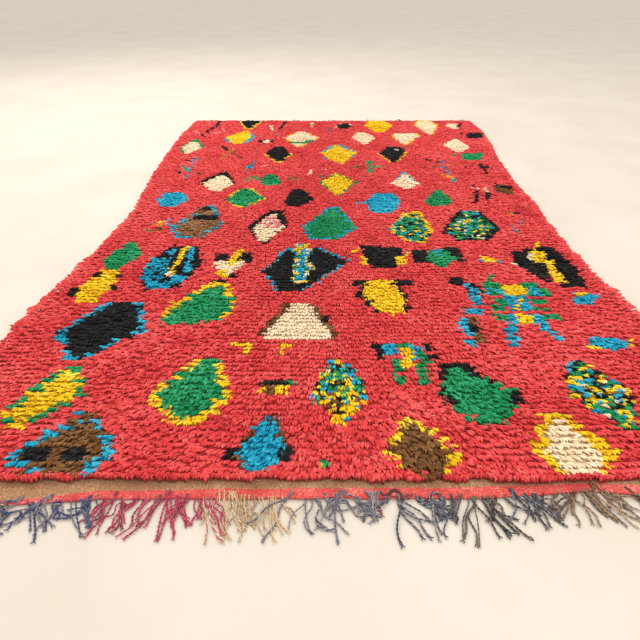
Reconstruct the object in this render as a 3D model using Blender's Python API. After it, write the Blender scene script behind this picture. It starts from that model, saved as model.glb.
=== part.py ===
"""Boujaad rug: a shaggy hand-knotted wool cloth with flat-woven ends and a warp fringe at each end.

Metres, +Z up. X runs across the rug and Y along it. The underside lies on Z = 0.
"""

import random
from collections import namedtuple

import bmesh
import bpy
from mathutils import Vector, noise

NAME = "boujaad_rug"

# Knotted rows: they run across the rug, one behind the other along Y.
ROWS = 122
ROW_PITCH = 0.020
FIRST_ROW_Y = -1.195
LAST_ROW_Y = FIRST_ROW_Y + (ROWS - 1) * ROW_PITCH

# Pile: the tufts of each row lean towards -Y over the row before, so each row is a rib with a steep front.
CREST_HEIGHT = 0.0200
VALLEY_HEIGHT = 0.0135
CREST_LEAN = 0.005
VALLEY_SETBACK = 0.013
LUMP_HEIGHT = 0.0026
LUMP_LENGTH = 0.075
LOCK_LUMP_LENGTH = 0.020
ROW_WANDER = 0.0035
ROW_WANDER_LENGTH = 0.35
SHOULDER = 0.022
SHOULDER_DROP = 0.003

# Locks at the rim: loose tuft ends that stand out past the ground weave.
LOCK_REACH = 0.010
LOCK_HEIGHT = 0.0085
LOCK_NOTCH = 0.3
LOCK_NOTCH_HEIGHT = 0.0060
LOCKS_PER_SPAN = 11
END_LOCK_TIP_HEIGHT = 0.0075
END_LOCK_ROOT_HEIGHT = 0.0135
NEAR_LOCK_REACH = 0.015
FAR_LOCK_REACH = 0.012

# Flat-woven ends: the ground weave goes on past the pile, brown and then red at the near end,
# and brown alone at the far end.
WEAVE_THICKNESS = 0.0030
NEAR_FOOT_Y = FIRST_ROW_Y - 0.004
FAR_FOOT_Y = LAST_ROW_Y + 0.012
CORNER_STEP_NEAR = -0.009
CORNER_STEP_FAR = 0.004

# Side edges of the ground weave, a row for each section along the rug.
Side = namedtuple("Side", "y left right")
SIDES = (
    Side(y=-1.24, left=-0.775, right=0.752),
    Side(y=-0.80, left=-0.772, right=0.748),
    Side(y=-0.55, left=-0.752, right=0.738),
    Side(y=-0.30, left=-0.726, right=0.720),
    Side(y=-0.04, left=-0.699, right=0.722),
    Side(y=0.22, left=-0.716, right=0.724),
    Side(y=0.60, left=-0.737, right=0.742),
    Side(y=0.95, left=-0.738, right=0.776),
    Side(y=1.25, left=-0.722, right=0.772),
)

# End edges of the ground weave, a row for each section across the rug.
# near is the near edge, red the line where the near red band meets the brown one, far the far edge.
End = namedtuple("End", "x near red far")
ENDS = (
    End(x=-0.80, near=-1.262, red=-1.254, far=1.252),
    End(x=-0.57, near=-1.254, red=-1.245, far=1.255),
    End(x=-0.41, near=-1.240, red=-1.225, far=1.258),
    End(x=-0.23, near=-1.238, red=-1.220, far=1.255),
    End(x=-0.05, near=-1.238, red=-1.219, far=1.252),
    End(x=0.22, near=-1.238, red=-1.217, far=1.256),
    End(x=0.33, near=-1.231, red=-1.212, far=1.259),
    End(x=0.41, near=-1.223, red=-1.207, far=1.258),
    End(x=0.50, near=-1.236, red=-1.214, far=1.255),
    End(x=0.80, near=-1.240, red=-1.218, far=1.250),
)

# Fringes: warp ends that lie on the floor, rooted in the last wefts, which are a narrow strip of their own.
PIECE_GAP = 0.0003
STRIP_WIDTH = 0.005
STRIP_THICKNESS = 0.0028
STRAND_WIDTH = 0.0032
STRAND_THICKNESS = 0.0026
STRAND_STEPS = 3
STRAND_TAPER = 0.45
Fringe = namedtuple("Fringe", "name strands shortest longest drift drift_length seed")
NEAR_FRINGE = Fringe(
    name="fringe_near", strands=150, shortest=0.048, longest=0.084, drift=0.014, drift_length=0.16, seed=11
)
FAR_FRINGE = Fringe(
    name="fringe_far", strands=64, shortest=0.036, longest=0.066, drift=0.010, drift_length=0.22, seed=23
)

RED = (0.70, 0.045, 0.055)
BROWN = (0.34, 0.21, 0.11)
FRINGE_GREY = (0.15, 0.14, 0.15)
DARK_GREY = (0.09, 0.085, 0.08)


def side_x(y, side):
    """Place of a side edge at a place along the rug: one soft curve through the table's sections."""
    sections = [(row.y, getattr(row, side)) for row in SIDES]
    y = min(max(y, sections[0][0]), sections[-1][0])
    number = max(index for index, (at, _) in enumerate(sections[:-1]) if at <= y)
    low, high = sections[number], sections[number + 1]
    before = sections[max(number - 1, 0)]
    after = sections[min(number + 2, len(sections) - 1)]
    length = high[0] - low[0]
    low_slope = (high[1] - before[1]) / (high[0] - before[0]) * length
    high_slope = (after[1] - low[1]) / (after[0] - low[0]) * length
    share = (y - low[0]) / length
    rise = share * share * (3.0 - 2.0 * share)
    bend = share * (1.0 - share) * (low_slope * (1.0 - share) - high_slope * share)
    return low[1] + rise * (high[1] - low[1]) + bend


def end_y(x, end):
    """Place of an end edge at a place across the rug: straight runs between the table's sections."""
    number = max([index for index, row in enumerate(ENDS[:-1]) if row.x <= x], default=0)
    low, high = ENDS[number], ENDS[number + 1]
    share = (x - low.x) / (high.x - low.x)
    return getattr(low, end) + share * (getattr(high, end) - getattr(low, end))


def smooth_noise(x, y, size, layer):
    """Soft noise from -1 to 1 that changes over the given length."""
    return noise.noise(Vector((x / size, y / size, layer * 7.3)))


def yarn_material(name, colour):
    material = bpy.data.materials.new(name)
    material.use_nodes = True
    shader = material.node_tree.nodes["Principled BSDF"]
    shader.inputs["Base Color"].default_value = (*colour, 1.0)
    shader.inputs["Roughness"].default_value = 0.92
    shader.inputs["Metallic"].default_value = 0.0
    material.diffuse_color = (*colour, 1.0)
    return material


def finish_object(name, bm, materials, collection):
    bmesh.ops.recalc_face_normals(bm, faces=bm.faces)
    mesh = bpy.data.meshes.new(name)
    bm.to_mesh(mesh)
    bm.free()
    for material in materials:
        mesh.materials.append(material)
    item = bpy.data.objects.new(name, mesh)
    collection.objects.link(item)
    return item


class Line:
    """The lines that run across the cloth, by their number from its near edge to its far edge."""

    near_edge = 0
    red_border = 1
    near_foot = 2
    near_rim = 3
    first_crest = 4
    far_rim = first_crest + 2 * ROWS - 1
    far_foot = far_rim + 1
    far_edge = far_foot + 1


LAST_COLUMN = len(ENDS) - 1
END_LINES = {Line.near_edge: "near", Line.red_border: "red", Line.far_edge: "far"}


def line_y(line):
    """Place along Y of a line of the field, before the rows wander."""
    ends = {
        Line.near_foot: NEAR_FOOT_Y,
        Line.near_rim: FIRST_ROW_Y - ROW_PITCH / 2,
        Line.far_rim: LAST_ROW_Y + ROW_PITCH / 3,
        Line.far_foot: FAR_FOOT_Y,
    }
    if line in ends:
        return ends[line]
    row, is_valley = divmod(line - Line.first_crest, 2)
    if is_valley:
        return FIRST_ROW_Y + (row + 1) * ROW_PITCH - VALLEY_SETBACK
    return FIRST_ROW_Y + row * ROW_PITCH - CREST_LEAN


def column_x(column, y):
    """Place across X: the edge, its shoulder, even columns between, the other shoulder and edge."""
    left = side_x(y, "left")
    right = side_x(y, "right")
    if column == 0:
        return left
    if column == LAST_COLUMN:
        return right
    share = (column - 1) / (LAST_COLUMN - 2)
    return left + SHOULDER + share * (right - left - 2 * SHOULDER)


def end_line_point(column, line):
    """A point on the near edge, the red border or the far edge, whose columns are the table's rows."""
    kind = END_LINES[line]
    row = ENDS[round(column)]
    x = row.x
    if column == 0:
        x = side_x(getattr(row, kind), "left")
    elif column == LAST_COLUMN:
        x = side_x(getattr(row, kind), "right")
    return Vector((x, end_y(x, kind), WEAVE_THICKNESS))


def rim_point(column, line):
    """A point on the rim over either end: the tip of a lock, or the notch between two."""
    y = line_y(line)
    x = column_x(column, y)
    if column in (0, LAST_COLUMN):
        return Vector((x, y, LOCK_HEIGHT))
    number = round((column - 1) * 2 * LOCKS_PER_SPAN)
    if number % 2 == 0:
        return Vector((x, y, END_LOCK_ROOT_HEIGHT))
    reach = -NEAR_LOCK_REACH if line == Line.near_rim else FAR_LOCK_REACH
    size = 0.75 + 0.5 * smooth_noise(x, y, LOCK_LUMP_LENGTH, 3)
    return Vector((x, y + reach * size, END_LOCK_TIP_HEIGHT))


def foot_point(column, line):
    """A point where the pile's end face meets the flat weave."""
    y = line_y(line)
    if column in (0, LAST_COLUMN):
        y += CORNER_STEP_NEAR if line == Line.near_foot else CORNER_STEP_FAR
    return Vector((column_x(column, y), y, WEAVE_THICKNESS))


def pile_point(column, line):
    """A point on the pile's upper face: a row's crest or the valley behind it, or a lock at the side."""
    y = line_y(line)
    x = column_x(column, y)
    is_valley = (line - Line.first_crest) % 2 == 1
    lump = smooth_noise(x, y, LUMP_LENGTH, 1)
    if column in (0, LAST_COLUMN):
        outward = -1.0 if column == 0 else 1.0
        reach = LOCK_REACH * (0.75 + 0.5 * lump)
        if is_valley:
            return Vector((x - outward * LOCK_NOTCH * reach, y, LOCK_NOTCH_HEIGHT))
        return Vector((x + outward * reach, y, LOCK_HEIGHT))
    y += ROW_WANDER * smooth_noise(x, y, ROW_WANDER_LENGTH, 2)
    z = VALLEY_HEIGHT if is_valley else CREST_HEIGHT
    if column in (1, LAST_COLUMN - 1):
        z -= SHOULDER_DROP
    return Vector((x, y, z + LUMP_HEIGHT * lump))


def cloth_point(column, line, is_low):
    """A point of the cloth, on its upper face or right below that on the floor."""
    if line in END_LINES:
        point = end_line_point(column, line)
    elif line in (Line.near_rim, Line.far_rim):
        point = rim_point(column, line)
    elif line in (Line.near_foot, Line.far_foot):
        point = foot_point(column, line)
    else:
        point = pile_point(column, line)
    if is_low:
        point.z = 0.0
        if column in (0, LAST_COLUMN):
            point.x = side_x(point.y, "left" if column == 0 else "right")
    return point


def plan_place(point):
    """Column and line of a point of the plan, a column being a fraction where a rim edge was split."""
    return point.co.x * LAST_COLUMN, round(point.co.y * Line.far_edge)


def cloth_plan():
    """The cloth's faces as a flat unit plan, its underside one unit below, before it takes its shape."""
    bm = bmesh.new()
    bmesh.ops.create_grid(bm, x_segments=LAST_COLUMN, y_segments=Line.far_edge, size=0.5)
    bmesh.ops.translate(bm, verts=bm.verts, vec=(0.5, 0.5, 0.0))
    rims = []
    for edge in bm.edges:
        places = [plan_place(point) for point in edge.verts]
        on_rim = all(line in (Line.near_rim, Line.far_rim) for _, line in places)
        inside = all(0.5 < column < LAST_COLUMN - 0.5 for column, _ in places)
        if on_rim and inside:
            rims.append(edge)
    bmesh.ops.bisect_edges(bm, edges=rims, cuts=2 * LOCKS_PER_SPAN - 1)
    outline = [edge for edge in bm.edges if edge.is_boundary]
    made = bmesh.ops.extrude_edge_only(bm, edges=outline)
    low_points = [item for item in made["geom"] if isinstance(item, bmesh.types.BMVert)]
    bmesh.ops.translate(bm, verts=low_points, vec=(0.0, 0.0, -1.0))
    low_sides = []
    for edge in bm.edges:
        places = [plan_place(point) for point in edge.verts]
        is_low = all(point.co.z < -0.5 for point in edge.verts)
        at_side = all(round(column) in (0, LAST_COLUMN) for column, _ in places)
        between = all(Line.red_border < line < Line.far_edge for _, line in places)
        if is_low and at_side and between:
            low_sides.append(edge)
    bmesh.ops.bridge_loops(bm, edges=low_sides)
    bmesh.ops.holes_fill(bm, edges=[edge for edge in bm.edges if edge.is_boundary], sides=0)
    return bm


def cloth(collection):
    """The one-piece woven cloth: the knotted field with its pile, and the flat-woven ends."""
    bm = cloth_plan()
    for face in bm.faces:
        first = min(plan_place(point)[1] for point in face.verts)
        if first == Line.near_edge:
            face.material_index = 2
        elif first == Line.red_border or first >= Line.far_foot:
            face.material_index = 1
    for point in bm.verts:
        column, line = plan_place(point)
        point.co = cloth_point(column, line, point.co.z < -0.5)
    finishes = [
        yarn_material("pile_red", RED),
        yarn_material("weave_brown", BROWN),
        yarn_material("weave_red", RED),
    ]
    return finish_object("rug_cloth", bm, finishes, collection)


def strand_path(fringe, chance, x):
    """Steps of one strand: how far it has gone out, how far sideways, and how wide it is still."""
    length = chance.uniform(fringe.shortest, fringe.longest)
    drift = fringe.drift * smooth_noise(x, 0.0, fringe.drift_length, fringe.seed)
    curl = 0.3 * fringe.drift * smooth_noise(x, 0.5, fringe.drift_length, fringe.seed)
    steps = []
    for number in range(1, STRAND_STEPS + 1):
        share = number / STRAND_STEPS
        sideways = drift * share * share + curl * share * (1.0 - share)
        steps.append((length * share, sideways, 1.0 - STRAND_TAPER * share))
    return steps


def fringe(fringe_kind, end, outward, material, collection):
    """A narrow strip along the cloth's end edge, with the strands drawn out of its front, cell by cell."""
    corner_y = ENDS[0].near if end == "near" else ENDS[0].far
    left = side_x(corner_y, "left")
    right = side_x(corner_y, "right")
    knots = [left] + [row.x for row in ENDS[1:-1]] + [right]
    pitch = (right - left) / fringe_kind.strands
    fronts = []
    for number in range(fringe_kind.strands):
        middle = left + (number + 0.5) * pitch
        fronts += [middle - STRAND_WIDTH / 2, middle + STRAND_WIDTH / 2]
    back_line = [Vector((x, end_y(x, end) + outward * PIECE_GAP, 0.0)) for x in knots]
    front_xs = [left] + fronts + [right]
    front_line = [Vector((x, end_y(x, end) + outward * (PIECE_GAP + STRIP_WIDTH), 0.0)) for x in front_xs]
    bm = bmesh.new()
    outline = [bm.verts.new(point) for point in back_line + front_line[::-1]]
    base = bm.faces.new(outline)
    made = bmesh.ops.extrude_face_region(bm, geom=[base])
    for item in made["geom"]:
        if isinstance(item, bmesh.types.BMVert):
            item.co.z = STRIP_THICKNESS
    bmesh.ops.recalc_face_normals(bm, faces=bm.faces)
    chance = random.Random(fringe_kind.seed)
    cells = {}
    for face in bm.faces:
        centre = face.calc_center_median()
        in_front = abs(face.normal.z) < 0.5 and (face.normal.y * outward) > 0.5
        number = int((centre.x - left) / pitch)
        middle = left + (number + 0.5) * pitch
        if in_front and len(face.verts) == 4 and abs(centre.x - middle) < STRAND_WIDTH / 8:
            cells[number] = face
    for number, cell in sorted(cells.items()):
        root = cell.calc_center_median()
        for out, sideways, width in strand_path(fringe_kind, chance, root.x):
            cell = bmesh.ops.extrude_discrete_faces(bm, faces=[cell])["faces"][0]
            place = Vector((root.x + sideways, root.y + outward * out, 0.0))
            half = STRAND_WIDTH / 2 * width
            middle_x = cell.calc_center_median().x
            for point in cell.verts:
                side = 1.0 if point.co.x > middle_x else -1.0
                point.co.x = place.x + side * half
                point.co.y = place.y
                if point.co.z > 0.0:
                    point.co.z = STRAND_THICKNESS * width
    return finish_object(fringe_kind.name, bm, [material], collection)


def clear_scene():
    for item in list(bpy.data.objects):
        bpy.data.objects.remove(item, do_unlink=True)


def main():
    clear_scene()
    collection = bpy.data.collections.new(NAME)
    bpy.context.scene.collection.children.link(collection)
    cloth(collection)
    fringe(NEAR_FRINGE, "near", -1.0, yarn_material("fringe_near_yarn", FRINGE_GREY), collection)
    fringe(FAR_FRINGE, "far", 1.0, yarn_material("fringe_far_yarn", DARK_GREY), collection)


main()
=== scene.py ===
"""Boujaad rug, the looks: knotted wool pile, flat-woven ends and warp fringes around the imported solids.

Metres, +Z up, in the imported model's frame. X runs across the rug, Y along it, and the floor is at Z = 0.
"""

import math
from collections import namedtuple

import bpy
import numpy as np
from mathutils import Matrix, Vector, noise


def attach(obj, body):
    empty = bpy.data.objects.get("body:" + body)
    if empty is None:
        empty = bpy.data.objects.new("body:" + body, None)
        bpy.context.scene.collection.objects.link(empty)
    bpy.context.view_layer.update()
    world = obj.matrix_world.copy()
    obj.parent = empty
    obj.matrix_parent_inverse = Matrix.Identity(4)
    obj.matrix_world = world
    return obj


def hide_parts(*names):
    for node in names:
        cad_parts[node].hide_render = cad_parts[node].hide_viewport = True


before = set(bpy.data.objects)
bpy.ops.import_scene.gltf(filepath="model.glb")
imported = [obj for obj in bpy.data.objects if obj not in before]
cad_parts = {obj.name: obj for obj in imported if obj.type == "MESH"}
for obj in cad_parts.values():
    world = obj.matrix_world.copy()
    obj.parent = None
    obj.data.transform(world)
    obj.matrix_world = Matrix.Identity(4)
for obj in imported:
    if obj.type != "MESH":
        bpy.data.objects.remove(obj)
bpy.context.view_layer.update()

# Knotted field: rows of knots across the rug, one behind the other along Y.
ROWS = 169
FIRST_ROW_Y = -1.195
LAST_ROW_Y = 1.225
ROW_PITCH = (LAST_ROW_Y - FIRST_ROW_Y) / (ROWS - 1)
ROW_YS = FIRST_ROW_Y + np.arange(ROWS) * ROW_PITCH
KNOT_PITCH = 0.0078
SIDE_KNOT = 102
KNOTS = np.arange(-SIDE_KNOT, SIDE_KNOT + 1)
SIDE_MARGIN = 0.004
RIM_MARGIN = 0.006
ROW_WANDER = 0.0040
ROW_STRAY = 0.0026

# Soft noise: the length over which each thing changes, and its layer.
LUMP = (0.075, 1)
WANDER = (0.30, 2)
UNREST = (0.26, 3)
TURN = (0.16, 4)
LOCK = (0.026, 5)
EDGE_LOCK = (0.034, 6)
STRAY = (0.22, 7)
LOOSE_WEAVE = (0.055, 8)
EDGE_LINE = (0.11, 9)
END_RIPPLE_LENGTH = 0.045
END_RIPPLE_LAYER = 9
END_RIPPLE = 0.0030

# Flat-woven ends: their thickness, where the field ends, and how the near one lifts off the floor.
WEAVE_THICKNESS = 0.0030
NEAR_FOOT_Y = FIRST_ROW_Y - 0.004
FAR_FOOT_Y = LAST_ROW_Y + 0.012
LOOSE_START = 0.008
LOOSE_LENGTH = 0.03
LOOSE_LIFT = 0.0016
LOOSE_WAVE = 0.0022

# Side edges of the ground weave, a row for each section along the rug: its y, left edge and right edge.
SIDES = (
    (-1.24, -0.772, 0.752),
    (-0.80, -0.766, 0.744),
    (-0.55, -0.738, 0.720),
    (-0.30, -0.708, 0.703),
    (-0.04, -0.688, 0.715),
    (0.22, -0.708, 0.715),
    (0.60, -0.727, 0.738),
    (0.95, -0.728, 0.774),
    (1.25, -0.708, 0.764),
)

# End lines of the ground weave, a row for each section across the rug: its x, then the near edge,
# the line where the near red band meets the brown one, and the far edge.
END_LINES = ("near", "red", "far")
ENDS = (
    (-0.80, -1.262, -1.254, 1.252),
    (-0.57, -1.254, -1.245, 1.255),
    (-0.41, -1.240, -1.225, 1.258),
    (-0.23, -1.238, -1.220, 1.255),
    (-0.05, -1.238, -1.219, 1.252),
    (0.22, -1.238, -1.217, 1.256),
    (0.33, -1.231, -1.212, 1.259),
    (0.41, -1.223, -1.207, 1.258),
    (0.50, -1.236, -1.214, 1.255),
    (0.80, -1.240, -1.218, 1.250),
)

# Wool colours as they are seen: the shade between the tufts, the wool, and the light on the tips.
WOOLS = {
    "red": ((176, 32, 38), (229, 72, 72), (248, 120, 113)),
    "yellow": ((190, 126, 0), (252, 206, 24), (255, 232, 84)),
    "green": ((4, 92, 48), (26, 146, 86), (80, 188, 132)),
    "blue": ((4, 100, 132), (26, 164, 194), (90, 206, 226)),
    "black": ((14, 12, 12), (28, 25, 24), (56, 52, 51)),
    "brown": ((60, 32, 12), (118, 76, 40), (164, 118, 72)),
    "tawny": ((96, 56, 30), (150, 102, 66), (188, 142, 104)),
    "cream": ((222, 184, 142), (248, 222, 182), (255, 242, 216)),
    "mauve": ((70, 68, 92), (124, 122, 146), (168, 164, 184)),
    "pink": ((190, 60, 80), (236, 130, 138), (248, 176, 176)),
    "orange": ((140, 60, 10), (214, 118, 46), (236, 160, 96)),
}

# Motifs, charted on squares counted across from the rug's middle and along from its near end.
# A lozenge has a tip at the left and one at the right, each across and along, and a flat end near and far,
# each from, to and along. kept is the share of its border that is there, upper the line above which the
# border starts, and wide the border's width in metres.
SQUARE_ACROSS = 0.0085
SQUARE_ALONG = 0.020
BORDER_WIDTH = 0.0158
THIN = 0.0085
Lozenge = namedtuple(
    "Lozenge",
    "left left_along right right_along near_from near_to near far_from far_to far "
    "fill border kept upper wide",
    defaults=(None, 1.0, 0, BORDER_WIDTH),
)
Bar = namedtuple("Bar", "left right near far fill")
Stroke = namedtuple("Stroke", "from_across from_along to_across to_along width fill")
MOTIFS = (
    # Near end, left to right.
    Lozenge(-70.5, 2.4, -47, 3, -63, -54, 0.6, -60, -55, 7.8, "brown", "blue", 0.85, 1.7),
    Bar(-67, -61.5, 2, 3.5, "black"), Bar(-58.7, -54, 2.2, 3.7, "black"), Bar(-64, -61, 0.6, 1.4, "blue"),
    Bar(-53, -50, 0.6, 1.4, "blue"),
    Lozenge(-78.4, 7.8, -60.5, 10.7, -73.4, -69.2, 6.2, -69, -65, 15.3, "yellow", "green", 0.8),
    Lozenge(-46, 10.5, -25.4, 10.8, -38.3, -31.5, 6.8, -37, -31, 16.4, "green", "yellow", 0.9),
    Lozenge(-23, 3.2, -11.5, 3.6, -20, -15.5, 0.8, -18, -15, 7.4, "brown"),
    Lozenge(-22.3, 3, -12.3, 3.2, -19, -15.5, 0.6, -17, -16.3, 7.6, "blue"),
    Bar(-25, -22.5, 1.8, 3.2, "black"), Bar(-13.5, -10.5, 2.2, 3.2, "black"),
    Bar(-19.5, -12.5, 12, 12.7, "black"), Bar(-12.5, -10.8, 12, 12.7, "green"),
    Bar(-19.7, -18, 10.4, 11.9, "yellow"), Bar(-18, -15.8, 10.4, 11.9, "brown"),
    Bar(-15.8, -13.2, 10.4, 11.9, "yellow"), Bar(-6.3, -5.3, 1.6, 2.2, "yellow"),
    Bar(-5.3, -3.2, 1.6, 2.2, "green"),
    Lozenge(-7.5, 10.4, 7, 10.6, -1.3, 0.3, 6.8, -2.3, 0.2, 16.6, "confetti", "confetti_blue", 0.7, 10),
    Lozenge(-5.4, 9.6, 5, 9.6, -1.5, 0.2, 6.7, -4.6, 4.6, 10.2, "confetti_yellow"),
    Bar(-1.9, 0.4, 6.6, 8, "yellow"),
    Lozenge(8, 3, 24.2, 2.4, 13.5, 19.5, 0.6, 12.6, 17.2, 7, "yellow"),
    Lozenge(10, 3, 21.5, 2.5, 13.5, 19, 0.2, 13.8, 15.4, 7.2, "brown"),
    Lozenge(23, 9.8, 42.4, 10.3, 29.5, 34, 6.2, 25, 31.5, 15.8, "green", "black", 0.8, 9),
    Lozenge(39, 3.3, 57.3, 3.3, 42, 52, 0.9, 44.5, 49.6, 8.1, "yellow"),
    Lozenge(41.8, 3.2, 53.5, 3.2, 44, 50, 0.5, 46.5, 48.5, 7.3, "cream"),
    Lozenge(53.3, 10.7, 69, 11.8, 60.5, 64, 6.2, 57, 61, 15.9, "confetti", "confetti_blue", 0.7, 11),
    # Small figure.
    Bar(8.7, 11.2, 16.5, 19, "black"), Bar(11, 15, 17.2, 19, "blue"), Bar(15, 18, 18.4, 19.1, "green"),
    Bar(16, 19.4, 16.6, 18.4, "yellow"), Bar(18.6, 21.6, 16.2, 19, "blue"),
    Bar(14.6, 19, 14.8, 16.3, "yellow"), Bar(12.7, 15.2, 12.4, 16.4, "green"),
    Bar(18.8, 21.3, 12, 16, "green"), Bar(20.5, 22.8, 16, 17.8, "green"),
    Bar(22, 24.5, 18.3, 19.2, "black"), Bar(22, 25.3, 16.6, 17.4, "black"),
    # Second line of motifs.
    Lozenge(-78.7, 21.8, -53, 21.7, -73, -62, 19, -69, -58, 28.6, "black", "blue", 0.8),
    Lozenge(-73, 18.5, -61.5, 18.8, -70.5, -65.5, 16, -72, -62, 20, "black", "blue", 0.6),
    Lozenge(-71, 20.5, -62, 20.5, -69.5, -64, 18, -70, -62, 22, "black"),
    Bar(-66.5, -60.6, 26.8, 28.7, "black"),
    Lozenge(-51, 26.8, -30.3, 27, -50, -33, 23.6, -40.5, -33.5, 33, "green", "yellow", 0.8, 24.6),
    Lozenge(-22.3, 21.4, -0.6, 21, -20, -1.5, 20, -16, -7, 28, "brown"),
    Lozenge(-20.2, 21.5, -2.4, 21, -19.8, -2.6, 19.8, -13.6, -8.8, 27.8, "cream"),
    Bar(-4.3, -2.3, 23.6, 25, "black"), Bar(-29, -23, 18.9, 19.6, "yellow"),
    Bar(-25.5, -23.5, 17.5, 19, "yellow"), Bar(-16, -12.6, 18.6, 19.4, "yellow"),
    Bar(-16.1, -15, 17.4, 18.7, "yellow"),
    Lozenge(6, 29.5, 21.6, 29.5, 11, 20.5, 25.5, 9, 18.8, 33.8, "black"),
    Bar(4.8, 10.5, 32.4, 33.8, "black"), Bar(17, 24.4, 32.4, 33.8, "black"),
    Lozenge(8, 30, 20, 29.5, 12, 19.5, 25.5, 10.5, 17.3, 33.8, "yellow"),
    Lozenge(-80.5, 32, -70, 32.5, -79, -73, 28.8, -78, -71, 36.9, "yellow"),
    Bar(-82.5, -79.8, 30.2, 32.2, "black"), Bar(-79.5, -76.3, 35.2, 36.6, "black"),
    Bar(-71.5, -69, 34.8, 36, "black"), Bar(-70.8, -68.6, 31.6, 32.9, "black"),
    Lozenge(70, 28.8, 80.5, 29.8, 71.5, 76, 27.9, 73, 78, 30.4, "blue"),
    Bar(73, 76, 30.3, 31, "yellow"),
    Lozenge(66, 19.6, 77.5, 19.8, 69, 75, 18.3, 68, 75, 20.6, "blue"),
    Bar(65, 68.8, 18.3, 19.1, "yellow"), Bar(76.6, 77.8, 19.4, 20, "yellow"),
    # Large figure: its left column, then its body and legs.
    Bar(36, 40, 32.3, 35, "black"), Bar(40, 45, 30, 33, "black_blue"), Bar(40, 43, 27.3, 30, "blue"),
    Bar(36.6, 42.3, 25.5, 27, "blue"), Bar(34, 37.3, 22.7, 24.7, "blue"),
    Bar(36.8, 39.2, 19.4, 25, "brown"), Bar(34.8, 37.3, 21, 22.4, "blue"),
    Bar(36.2, 39.4, 21.8, 23.3, "black"), Bar(34, 36.6, 19.1, 20.6, "blue"),
    Stroke(47.5, 33, 51, 35.8, 1.6, "green"), Bar(46, 52, 29.8, 31.8, "green_blue"),
    Bar(46, 51.6, 31.8, 33.2, "green"), Bar(58, 63, 31.8, 33.4, "green"),
    Bar(57.5, 65, 30, 31.8, "green_blue"), Bar(51.5, 58.4, 29.7, 33, "yellow"),
    Bar(45.5, 50, 28, 29.3, "green"), Bar(57.3, 62.3, 28, 29.3, "green"), Bar(50, 57, 26, 29.8, "blue"),
    Stroke(51.5, 26.4, 55, 28.8, 1.6, "yellow"), Bar(44.8, 49.4, 26.2, 27.3, "green"),
    Bar(57, 61.6, 26.2, 27.3, "green"), Bar(44.5, 49, 23.9, 25.4, "green"),
    Bar(58, 63.5, 24.3, 25.8, "green"), Bar(48.5, 58.5, 23.3, 25.2, "blue"),
    Bar(50, 54.7, 23.2, 25.3, "yellow"), Stroke(47.9, 23.4, 46.9, 19, 2.9, "blue"),
    Stroke(57, 23, 59.3, 20, 2.8, "blue"),
    # Third line of motifs.
    Lozenge(-80, 40, -67, 41.8, -75, -72, 37.1, -74, -72, 45.5, "green"),
    Lozenge(-64, 38.2, -44.5, 39, -60, -50, 31.7, -58, -49, 44.6, "black"),
    Bar(-63, -56, 33.8, 41, "blue_black"), Bar(-60.5, -52.5, 31.7, 33.5, "blue"),
    Bar(-53, -48.5, 33.6, 35.6, "blue"), Bar(-58, -56, 41.4, 43.5, "blue"),
    Stroke(-49, 36.5, -50.5, 44, 2.2, "blue"), Stroke(-54, 36, -52.8, 43.8, 1.8, "yellow"),
    Bar(-55.5, -53.5, 35, 36.2, "cream"), Bar(-41, -37.3, 39.2, 41.8, "black"),
    Bar(-34, -29, 39.2, 42.4, "black"), Bar(-35.5, -33, 34.5, 36.4, "black"),
    Bar(-39.5, -35.5, 33.3, 34.2, "black"),
    Lozenge(-41, 38.6, -31, 38.6, -37.5, -34.5, 35.6, -40.7, -31.3, 39.7, "cream"),
    Stroke(-36.2, 38.5, -33.2, 43, 2.8, "yellow"), Stroke(-39, 37, -35.3, 34.5, 2.6, "yellow"),
    Lozenge(-24.5, 36.7, 5, 39.5, -19, -9, 31.2, -17, -5, 43.8, "black", "blue", 0.85, wide=THIN),
    Bar(-17.6, -10.6, 30.9, 32.6, "black"), Stroke(-11.3, 33.8, -11.3, 44.4, 4.6, "stripe"),
    Bar(-14.5, -7.6, 41.6, 43.6, "stripe"), Bar(-13.8, -7.2, 36.3, 38.6, "stripe"),
    Bar(-12.2, -10.3, 34, 43.4, "blue"),
    Lozenge(9, 42.5, 24.5, 43.4, 12, 19.5, 37.4, 9.5, 23.5, 44.2, "black"),
    Stroke(5.8, 42.3, 9.5, 43.4, 1, "yellow"), Bar(8.5, 11, 38.3, 41, "yellow"),
    Bar(20.5, 24, 38.3, 41, "yellow"), Stroke(23.5, 40.8, 26.6, 42.6, 1, "yellow"),
    Bar(27.2, 32.3, 38.8, 43.2, "black"), Bar(38.5, 44, 40.8, 43.9, "black"),
    Bar(41, 43.5, 38.8, 41, "black"),
    Lozenge(31.5, 40.3, 42, 40.4, 34, 36, 37.5, 33.5, 38, 43.2, "green"),
    Bar(33.5, 38.7, 41.3, 43.2, "green_blue"), Bar(50.5, 55, 39.3, 41, "yellow"),
    Bar(49, 50.5, 39.3, 40.3, "mauve"), Bar(55, 57, 39.3, 40.3, "mauve"), Bar(59, 61, 38.2, 39.6, "cream"),
    Lozenge(60.3, 39.5, 70.5, 38, 66, 69, 33.5, 67, 69.5, 44, "black"),
    Bar(61.6, 66, 39.6, 42.7, "black"),
    Lozenge(69, 37.5, 79.8, 38, 71, 78, 32, 71, 78, 44.2, "black"),
    Bar(66.5, 69, 40, 42, "cream"), Stroke(73.8, 45.8, 68.8, 42.2, 1.6, "yellow"),
    Lozenge(67.8, 39.8, 73.5, 42.2, 69, 72, 39, 69.5, 74, 43, "yellow"),
    Stroke(72.5, 39.8, 71.5, 34, 3.2, "yellow"),
    # Fourth line of motifs.
    Lozenge(-62.5, 51.5, -42.5, 52.5, -58.5, -49, 47, -53.5, -49, 61, "tawny", "blue", 0.5),
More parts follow.
